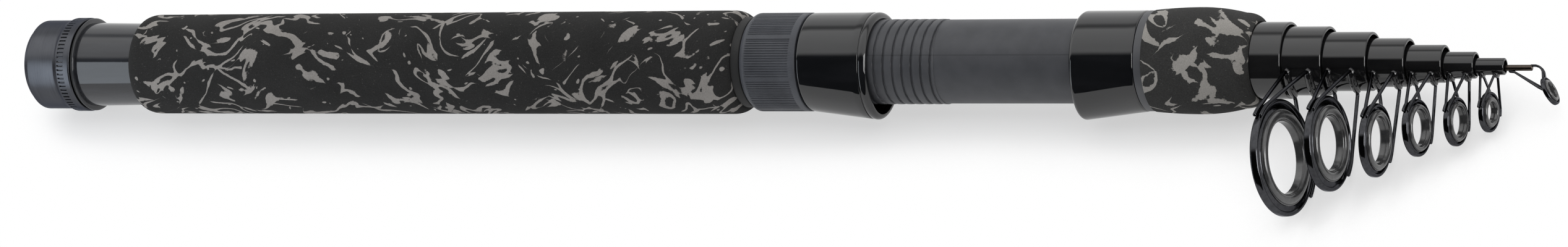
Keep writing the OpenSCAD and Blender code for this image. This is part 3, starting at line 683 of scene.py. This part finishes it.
# the bevel's edge is points along the nut with their depth
nut = {"rear": 27.2, "chamfer": 0.2, "bevel": 1.6, "bevelEdge": [(-0.3, 0.14), (0, 0.03), (0.3, 0)], "edge": 0.4,
       "groups": 7, "perGroup": 16, "step": 3.0, "width": 0.34, "depth": 0.24, "ease": 0.4,
       "rows": (0.0, 0.12, 0.25, 0.4), "rim": 1.9, "bore": 12.68, "sides": 1008}


def lockNut():
    low, high, r = nodeFacts("lock_nut")
    rearR, chamfer, bevelX = nut["rear"] / 2, nut["chamfer"], low.x + nut["bevel"]
    start, end = bevelX + nut["ease"], high.x - nut["rim"]
    section = [(low.x, nut["bore"]), (low.x, rearR - chamfer), (low.x + chamfer, rearR)]
    section += [(bevelX + x, r - depth) for x, depth in nut["bevelEdge"]]
    section += [(start + x, r) for x in nut["rows"]] + [(end - x, r) for x in reversed(nut["rows"])]
    section += frontRound(high.x, r, nut["edge"], 5) + [(high.x, nut["bore"])]
    piece = grooved("lockNut", section, nut["sides"], nut, start, end, nutSlate)
    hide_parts("lock_nut")
    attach(piece, "lock_nut")


for build in (rearGrip, foreGrip, buttSleeve, seatBarrel, hoods, lockNut):
    build()
trimRing("grip_ring", gripRing, softRubber)
trimRing("hood_ring", hoodRing, ringSlate)
print("handle made")


# Butt cap

# the stud's spot is points in from the cap's end with their radius
cap = {"outer": 28.0, "edge": 1.2, "dome": 3.0, "end": 3.0, "spot": [(0.6, 0), (0.6, 3.7), (0.2, 4.0)],
       "bands": (3, 6), "plain": 0.4, "rise": 1.8, "bead": 29.5, "beadLength": 4.5, "beadEdge": 0.5,
       "beadPlain": 0.3, "bore": 12.58, "groups": 68, "perGroup": 1, "step": 1.0, "width": 0.5, "depth": 0.5,
       "ease": 0.25, "slotFrom": 4.4, "slotLength": 2.3, "slotSides": 12}


def buttCap():
    low, high, _ = nodeFacts("butt_cap")
    r, bead, edge, spotR = cap["outer"] / 2, cap["bead"] / 2, cap["edge"], cap["spot"][-1][1]
    edgeX, topX, slotX = low.x + cap["dome"], high.x - cap["beadLength"], high.x - cap["slotFrom"]
    riseX, floorX, length = topX - cap["rise"], edgeX + cap["end"], cap["slotLength"]
    section = [(floorX, 0)] + [(low.x + x, y) for x, y in cap["spot"]]
    section += bow(edgeX, spotR, -cap["dome"], r - edge - spotR, 0, 90, 10)[1:] + rearRound(edgeX, r, edge, 8)
    section += [(edgeX + x, r) for x in cap["bands"]] + [(riseX - cap["plain"], r)]
    for t in (0, 0.2, 0.4, 0.6, 0.8, 1):  # eased up to the bead
        section.append((riseX + (topX - riseX) * t, r + (bead - r) * t * t * (3 - 2 * t)))
    section += [(slotX + length * i / 12, bead) for i in range(13)]
    section += [(high.x - cap["beadEdge"] - cap["beadPlain"], bead)] + frontRound(high.x, bead, cap["beadEdge"], 6)
    section += [(high.x, cap["bore"]), (floorX, cap["bore"])]
    piece = grooved("buttCap", section, cap["groups"] * cap["slotSides"], cap, slotX, slotX + length, capMetal)
    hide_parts("butt_cap")
    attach(piece, "butt_cap")


stud = {"shankTrim": 0.5, "seat": 0.7, "chamfer": 0.1, "sides": 96}
pad = {"edge": 0.5, "dish": [(0, 0.6), (0.4, 0.55), (0.4, 0)], "sides": 96}  # in mm back, with shares of its radius
seal = {"bore": 12.6}


def capFittings():
    low, high, r = nodeFacts("cap_stud")
    headX, endX = nodeFacts("butt_cap")[0].x, high.x - stud["shankTrim"]
    seatX = headX + stud["seat"]
    section = [(endX, 0), (endX, r / 2), (seatX, r / 2), (seatX, r - stud["chamfer"])]
    section += bow(headX, 0, low.x - headX, r, 90, 0, 10)
    piece = turned("capStud", section, stud["sides"], studChrome, 40)
    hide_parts("cap_stud")
    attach(piece, "butt_cap")
    low, high, r = nodeFacts("cap_bumper")
    section = [(low.x, 0), (low.x, r)] + frontRound(high.x, r, pad["edge"], 6)
    section += [(high.x - x, r * share) for x, share in pad["dish"]]
    piece = turned("capBumper", section, pad["sides"], softRubber)
    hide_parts("cap_bumper")
    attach(piece, "butt_cap")
    low, high, r = nodeFacts("cap_seal")
    half = (high.x - low.x) / 2
    section = bow((low.x + high.x) / 2, r - half, half, half, 180, 0, 12)
    section = [(low.x, seal["bore"])] + section + [(high.x, seal["bore"])]
    piece = turned("capSeal", section, grip["sides"], softRubber, 60)
    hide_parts("cap_seal")
    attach(piece, "cap_seal")


buttCap()
capFittings()
print("butt cap made")


# Tubes

tubes = {"front": [22.2, 19.84, 16.96, 13.93, 10.84, 7.67, 4.87], "wall": [0.8, 0.8, 0.8, 0.8, 0.75, 0.7, 0.65],
         "lip": 0.42, "innerLip": 0.15, "chamfer": 0.1, "rings": 6, "sides": 144}
tubeNodes = ["butt_blank"] + ["section_%d" % k for k in range(2, 8)]


def tubeFacts(i):
    low, high, r = nodeFacts(tubeNodes[i])
    return low.x, high.x, r, tubes["front"][i] / 2, (low.z + high.z) / 2


def tubeRadius(i, x):
    rearX, frontX, rearR, frontR, _ = tubeFacts(i)
    return frontR + (rearR - frontR) * (frontX - x) / (frontX - rearX)


def tube(i):
    rearX, frontX, rearR, frontR, height = tubeFacts(i)
    wall, inner, chamfer, rings = tubes["wall"][i], tubes["innerLip"], tubes["chamfer"], tubes["rings"]
    section = [(rearX, rearR - wall), (rearX, rearR - chamfer), (rearX + chamfer, rearR)]
    section += [(rearX + (frontX - rearX) * k / rings, rearR + (frontR - rearR) * k / rings) for k in range(1, rings)]
    section += frontRound(frontX, frontR, tubes["lip"], 6)
    section += bow(frontX - inner, frontR - wall + inner, inner, inner, 0, -90, 4)
    place = Matrix.Translation((0, 0, height * mm))
    name = "outerTube" if i == 0 else "tube%d" % (i + 1)
    piece = turned(name, section, tubes["sides"], tubeLacquer, 40, place)
    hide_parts(tubeNodes[i])
    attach(piece, "handle" if i == 0 else tubeNodes[i])


tipShape = {"chamfer": 0.15, "front": 0.61, "sides": 64}
tipTube = {"wall": 0.2, "chamfer": 0.05, "edge": 0.35, "end": 0.8}


def tip():
    low, high, r = nodeFacts("tip_blank")
    height, chamfer, sides = (low.z + high.z) / 2, tipShape["chamfer"], tipShape["sides"]
    place = Matrix.Translation((0, 0, height * mm))
    section = [(low.x, 0), (low.x, r - chamfer), (low.x + chamfer, r), (high.x, tipShape["front"]), (high.x, 0)]
    piece = turned("tipBlank", section, sides, tubeLacquer, place=place)
    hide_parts("tip_blank")
    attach(piece, "tip_section")
    low, high, _ = nodeFacts("tip_top_tube")
    r, chamfer, endX = (high.y - low.y) / 2, tipTube["chamfer"], high.x - tipTube["end"]
    bore = r - tipTube["wall"]
    section = [(low.x, bore), (low.x, r - chamfer), (low.x + chamfer, r)]
    section += frontRound(high.x, r, tipTube["edge"], 6) + [(high.x, 0), (endX, 0), (endX, bore)]
    piece = turned("tipTube", section, sides, tipBronze, place=place)
    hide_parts("tip_top_tube")
    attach(piece, "tip_section")
    return height


for i in range(len(tubeNodes)):
    tube(i)
tipHeight = tip()
print("tubes made")


# Line guides

guides = {"reach": [37.8, 32.0, 27.7, 21.7, 17.4, 13.2], "ring": [33.4, 27.2, 21.0, 16.4, 14.0, 11.6],
          "bore": [20.7, 15.5, 13.0, 10.2, 8.5, 5.5], "rim": [2.5, 2.3, 2.1, 1.9, 1.7, 1.5],
          "wire": [1.15, 1.1, 1.05, 0.94, 0.87, 0.76], "footGap": [6.4, 7.0, 6.2, 5.8, 4.9, 4.2],
          "turn": [3, 3, -3, -7, -17, -28], "twist": [10.5, 7.0, 3.0, 7.5, 7.5, 8.5], "lean": 3.0,
          "footOffset": 1.6, "ringOffset": 4.4, "footAngle": 31, "footSteps": 8, "footLift": 0.04,
          "hold": [-3, -9, -15, -21], "weld": 0.56, "bend": 3, "wireSides": 14, "sides": 128}
# the back of the line ring is points out from its face and up from its bore, as shares
ringShape = {"insertShare": 0.27, "insertGap": 0.04, "edge": 0.3, "lip": 0.15, "bulge": 0.35, "crown": 0.4,
             "back": [(0, 0), (0.6, 0.225), (1, 0.5), (0.6, 0.8), (0, 1)], "boreEdge": 0.05}


# the metal ring, dished in front towards the insert
def rimSection(ringR, seatR, t):
    edge = t * ringShape["edge"]
    section = [(-t / 2, seatR)] + rearRound(-t / 2, ringR, edge, 6) + frontRound(t / 2, ringR, edge, 6)
    section += [(t / 2 - edge * 0.3, ringR - edge * 1.5), (t / 2 - edge, (ringR + seatR) / 2),
                (t / 2 - edge * 0.7, seatR + ringShape["lip"]), (t / 2 - edge / 2, seatR)]
    return section


# the line ring, crowned on both faces
def insertSection(seatR, boreR, t):
    wide, bulge = seatR - boreR, t * ringShape["bulge"]
    section = [(-t / 2 - bulge * x, boreR + wide * y) for x, y in ringShape["back"]] + [(t / 2, seatR)]
    section += bow(t / 2, (seatR + boreR) / 2, bulge, wide * ringShape["crown"], 90, -90, 12)
    section += [(t / 2 - bulge / 4, boreR + ringShape["boreEdge"]), (t / 2 - bulge / 2, boreR)]
    return section


def ringPair(names, ringR, boreR, t, sides, place):
    seatR = boreR + (ringR - boreR) * 2 * ringShape["insertShare"]
    insert = insertSection(seatR - ringShape["insertGap"], boreR, t)
    return (turned(names[0], rimSection(ringR, seatR, t), sides, rimChrome, 50, place),
            turned(names[1], insert, sides, ceramic, 40, place))


def guide(g):
    n = g + 1
    body = "section_%d" % (n + 1)
    node = "guide_%d_" % n
    gap, reach, t = (guides[key][g] for key in ("footGap", "reach", "rim"))
    ringR, boreR, wireR = (guides[key][g] / 2 for key in ("ring", "bore", "wire"))
    footX = tubeFacts(g)[1] + guides["footOffset"]
    ringX = footX + guides["ringOffset"] * gap / guides["footGap"][0]
    lean, twist, turn = (radians(a) for a in (guides["lean"], guides["twist"][g], -guides["turn"][g]))
    base = Matrix.Translation((0, 0, tubeFacts(n)[4] * mm)) @ Matrix.Rotation(turn, 4, "X")
    place = base @ Matrix.Translation((ringX * mm, -reach * mm, 0))
    place = place @ Matrix.Rotation(-lean, 4, "Z") @ Matrix.Rotation(-twist, 4, "Y")

    names = "guideRim%d" % n, "guideInsert%d" % n
    rim, insert = ringPair(names, ringR, boreR, t, guides["sides"], place)
    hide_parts(node + "rim")
    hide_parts(node + "insert")

    weld = wireR * guides["weld"]
    holdR = ringR + wireR - weld

    # a point on the ring's outside, at an angle from its middle and on one side
    def onRing(x, degrees, side):
        a = radians(degrees)
        du, dw = holdR * sin(a), side * holdR * cos(a)
        return Vector((x - du * sin(lean) - dw * sin(twist), -reach - du, dw))

    paths = []
    for footAt, side in ((footX, -1), (footX + gap, 1)):
        holdX = ringX + side * (t / 2 - weld)
        footR = tubeRadius(n, footAt) + wireR + guides["footLift"]
        path = [onRing(holdX, a, 1) for a in guides["hold"]]
        for i in range(guides["footSteps"] + 1):
            a = radians(guides["footAngle"] * (1 - 2 * i / guides["footSteps"]))
            path.append(Vector((footAt, -footR * cos(a), footR * sin(a))))
        path += [onRing(holdX, a, -1) for a in reversed(guides["hold"])]
        paths.append(path)
    frameWires = bentWires("guideFrame%d" % n, paths, wireR, guides, base)
    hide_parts(node + "frame")

    saddles = bindingMesh(n, base, [footX, footX + gap], wireR)
    bind = link("guideBinding%d" % n, saddles, bindLacquer, 60)
    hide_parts(node + "binding")
    for piece in (rim, insert, frameWires, bind):
        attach(piece, body)


binding = {"cover": 0.1, "past": 4.0, "around": 28, "over": 12, "lift": 0.04, "endShare": 0.02, "fullness": 6}


# lacquered saddles that hold the wire feet, flat against the tube and round at their ends
def bindingMesh(n, base, places, wireR):
    form = bmesh.new()
    span, over = guides["footAngle"] + binding["past"], binding["over"]
    bead = 2 * wireR + binding["cover"]
    for x in places:
        seatR = tubeRadius(n, x - bead) + binding["lift"]
        rows = []
        for i in range(binding["around"] + 1):
            share = 2 * i / binding["around"] - 1
            a = radians(span * share)
            full = bead * max(binding["endShare"], 1 - abs(share) ** binding["fullness"]) ** 0.5
            row = []
            for k in range(over + 1):
                c = pi * k / over
                along, r = x - full * cos(c), seatR + full * sin(c)
                row.append(form.verts.new((along * mm, -r * cos(a) * mm, r * sin(a) * mm)))
            rows.append(row)
        for one, two in zip(rows, rows[1:]):
            skin(form, one, two)
        form.faces.new(rows[0])
        form.faces.new(rows[-1])
    return closedMesh("binding", form, base)


for g in range(len(guides["ring"])):
    guide(g)
print("line guides made")


# Tip-top

# the arch goes out by shares of the overhang, down and apart by wire radii
tipTop = {"reach": 6.7, "ring": 8.6, "bore": 4.5, "rim": 1.2, "ringAt": 5.4, "lean": 26, "twist": 8, "turn": -30,
          "wire": 0.65, "tubeLength": 7.8, "tube": 1.75, "overhang": 3.2, "braceStart": 1.2,
          "arch": [(0.3, 0, 1), (0.6, 1, 1), (0.85, 3, 1.5), (1, 5.5, 2.6)], "spread": 4, "sunk": 0.8, "rest": 0.6,
          "braceBend": 4, "braceRise": 0.4, "bend": 2.5, "wireSides": 12, "sides": 96}


def tipTopRing():
    frontX = nodeFacts("tip_top_tube")[1].x
    ringR, boreR, wireR, tubeR = (tipTop[key] / 2 for key in ("ring", "bore", "wire", "tube"))
    t, over, bend = tipTop["rim"], tipTop["overhang"], wireR * tipTop["braceBend"]
    lean, turn = radians(tipTop["lean"]), radians(-tipTop["turn"])
    twist = Matrix.Rotation(-radians(tipTop["twist"]), 4, "Y")
    base = Matrix.Translation((0, 0, tipHeight * mm)) @ Matrix.Rotation(turn, 4, "X")
    middle = Vector((frontX + tipTop["ringAt"], -tipTop["reach"], 0))
    place = base @ Matrix.Translation(middle * mm) @ Matrix.Rotation(lean, 4, "Z") @ twist
    rim, insert = ringPair(("tipTopRim", "tipTopInsert"), ringR, boreR, t, tipTop["sides"], place)
    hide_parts("tip_top_rim")
    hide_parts("tip_top_insert")
    crown = tubeR - wireR * tipTop["sunk"]
    braceX, braceY = frontX - tipTop["tubeLength"] + tipTop["braceStart"], -tubeR - wireR * tipTop["rest"]
    near = Vector((middle.x - ringR * sin(lean), middle.y + ringR * cos(lean), 0))
    paths = []
    for side in (-1, 1):
        wireZ = side * wireR
        hold = middle + twist @ Vector((-t / 4, -wireR, side * (ringR + wireR * tipTop["rest"])))
        upper = [(frontX - wireR, crown, wireZ)]
        upper += [(frontX + over * out, crown - wireR * down, wireZ * apart) for out, down, apart in tipTop["arch"]]
        upper += [near + Vector((0, -wireR, wireZ * tipTop["spread"]))]
        lower = [(braceX, braceY, wireZ), (braceX + bend, braceY - wireR * tipTop["braceRise"], wireZ),
                 hold + Vector((-bend, bend / 2, -wireZ)), hold]
        paths += [upper, lower]
    wires = bentWires("tipTopFrame", paths, wireR, tipTop, base)
    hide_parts("tip_top_frame")
    for piece in (rim, insert, wires):
        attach(piece, "tip_section")


tipTopRing()
print("tip-top made")


# Studio

studio = {"floorHalf": 8.0, "floorFront": 0.22, "floorColour": (0.97, 0.97, 0.975, 1), "floorRough": 0.9,
          "floorShine": 0.1, "floorDrop": 0.02, "whiteShare": 0.57, "shadeReach": 32.0,
          "shade": (0.6, 0.88), "shadeSamples": 16, "panel": (17, 80), "panelGlow": (1.3, 1.6), "behind": 1.05,
          "dark": 0.03, "gap": 0.45, "gapTo": 93, "soft": 6}


# where the eye looks, and where the eye, a reflection or a see-through surface does
def looksAtIt(start):
    path = start.make("ShaderNodeLightPath", output="Is Camera Ray")
    others = [Signal(start.tree, path.socket.node.outputs[k]) for k in ("Is Glossy Ray", "Is Transmission Ray")]
    return path, path.most(others[0]).most(others[1])


# white to the eye; near the rod an ambient-occlusion mask fades the white, painted shade, so that the lit floor and
# its real shadow show there
def floor():
    height = cadBox[0].z - studio["floorDrop"] * mm
    s, edge = studio["floorHalf"], -studio["floorFront"]
    mesh = bpy.data.meshes.new("floor")
    mesh.from_pydata([(-s, edge, height), (s, edge, height), (s, s, height), (-s, s, height)], [], [(0, 1, 2, 3)])
    finish, shader = plainFinish("paleFloor", Base_Color=studio["floorColour"], Roughness=studio["floorRough"],
                                 Specular_IOR_Level=studio["floorShine"])
    tree = finish.node_tree
    start = Signal(tree)
    white = start.make("ShaderNodeEmission", {}, {"Color": (1, 1, 1, 1), "Strength": 1.0})
    # ambient occlusion as painted shade: the floor's white fades where the rod is near
    near = start.make("ShaderNodeAmbientOcclusion", {"samples": studio["shadeSamples"]},
                      {"Distance": studio["shadeReach"] * mm}, "AO")
    share = looksAtIt(start)[1] * mixed(1, near.rise(*studio["shade"]), studio["whiteShare"])
    both = start.make("ShaderNodeMixShader", {}, {0: share, 1: Signal(tree, shader.outputs[0]), 2: white})
    tree.links.new(both.socket, tree.nodes["Material Output"].inputs["Surface"])
    link("floor", mesh, finish)


# the photo's frame, focal length and axis row in its pixels, its angles in degrees
view = {"frame": (2535, 400), "focal": 9000.0, "tilt": 24.5, "lift": 40.0, "roll": -0.1, "perMm": 5.416,
        "middle": 114.63, "axisRow": 100.5, "sensor": 36, "clip": (0.01, 100)}


def cameraAxes():
    tilt, lift, roll = (radians(view[k]) for k in ("tilt", "lift", "roll"))
    right = Vector((cos(roll), sin(roll), 0))
    up = Vector((-sin(roll), cos(roll), 0))
    back = Vector((0, 0, 1))
    along = right * cos(tilt) + back * sin(tilt)
    facing = back * cos(tilt) - right * sin(tilt)
    raised = up * cos(lift) - facing * sin(lift)
    return Matrix((along, raised, facing * cos(lift) + up * sin(lift)))


def camera():
    axes = cameraAxes()
    away = view["focal"] / view["perMm"]
    aim = Vector((0, (view["frame"][1] / 2 - view["axisRow"]) / view["focal"] * away, -away))
    spot = Vector((view["middle"], 0, 0)) - axes @ aim
    lens = bpy.data.cameras.new("camera")
    lens.sensor_width = view["sensor"]
    lens.lens = view["focal"] / view["frame"][0] * view["sensor"]
    lens.clip_start, lens.clip_end = view["clip"]
    eye = bpy.data.objects.new("camera", lens)
    scene.collection.objects.link(eye)
    eye.matrix_world = Matrix.Translation(spot * mm) @ axes.to_4x4()
    scene.camera = eye


# the ways from the rod up and to the front, as the eye sees them
def eyeWays():
    lift = radians(view["lift"])
    return Vector((0, cos(lift), sin(lift))), Vector((0, -sin(lift), cos(lift)))


# a long soft panel over the rod, white behind it and a dark room in front
def light():
    world = bpy.data.worlds.new("studio")
    scene.world = world
    world.use_nodes = True
    tree = world.node_tree
    ground = tree.nodes["Background"]
    start = Signal(tree)
    way = start.make("ShaderNodeTexCoord", output="Generated")
    up, front = (way.vector("DOT_PRODUCT", tuple(axis), "Value") for axis in eyeWays())
    angle = way.math("ARCTAN2", up, front) * (180 / pi)
    (low, high), (dim, bright), soft = studio["panel"], studio["panelGlow"], studio["soft"]
    panel = angle.between(low - soft, high + soft, 2 * soft)
    level = dim + angle.rise(low, high) * (bright - dim)
    far = angle.rise(studio["gapTo"] - soft, studio["gapTo"] + soft)
    gap = angle.rise(high - soft, high + soft) * (1.0 - far)
    glow = studio["dark"] + panel * level + gap * studio["gap"] + far * studio["behind"]
    seen = looksAtIt(start)[0]
    strength = glow * (1.0 - seen) + seen
    tree.links.new(strength.socket, ground.inputs["Strength"])
    ground.inputs["Color"].default_value = (1, 1, 1, 1)


# a lamp that shines on a place on the rod from beside the eye, by degrees up and towards the tip
def panelLamp(name, look):
    rise, along = radians(look["rise"]), radians(look["along"])
    up, facing = eyeWays()
    way = Vector((sin(along), 0, 0)) + (facing * cos(rise) + up * sin(rise)) * cos(along)
    across = Vector((1, 0, 0))
    across = (across - way * across.dot(way)).normalized()
    spot = Vector((look["x"], 0, 0)) + way * look["away"]
    turn = Matrix((across, way.cross(across), way)).transposed()
    area = bpy.data.lights.new(name, "AREA")
    area.shape = "RECTANGLE"
    area.size, area.size_y = look["width"] * mm, look["height"] * mm
    area.color = look["colour"]
    area.energy = look["glow"] * pi * area.size * area.size_y
    lamp = bpy.data.objects.new(name, area)
    scene.collection.objects.link(lamp)
    lamp.matrix_world = Matrix.Translation(spot * mm) @ turn.to_4x4()
    return lamp


frontFill = {"x": 114.0, "away": 1200.0, "rise": -45.0, "along": 0.0, "width": 900.0, "height": 500.0, "glow": 2.5,
             "colour": (1, 1, 1)}
coolPanel = {"x": -165.0, "away": 300.0, "rise": -26.0, "along": -view["tilt"], "width": 170.0, "height": 330.0,
             "glow": 3.0, "colour": (0.86, 0.93, 1.0)}
tipStrip = {"x": 310.0, "away": 900.0, "rise": 0.0, "along": 66.0, "width": 600.0, "height": 420.0, "glow": 6.0,
            "colour": (1, 1, 1)}


def lamps():
    panelLamp("frontFill", frontFill).visible_glossy = False  # a card low in front
    panelLamp("coolPanel", coolPanel)  # the butt mirrors it to the eye
    panelLamp("tipStrip", tipStrip).visible_diffuse = False  # glints on the tubes' lips


floor()
camera()
light()
lamps()
scene.view_settings.view_transform = "Standard"
print("studio made")
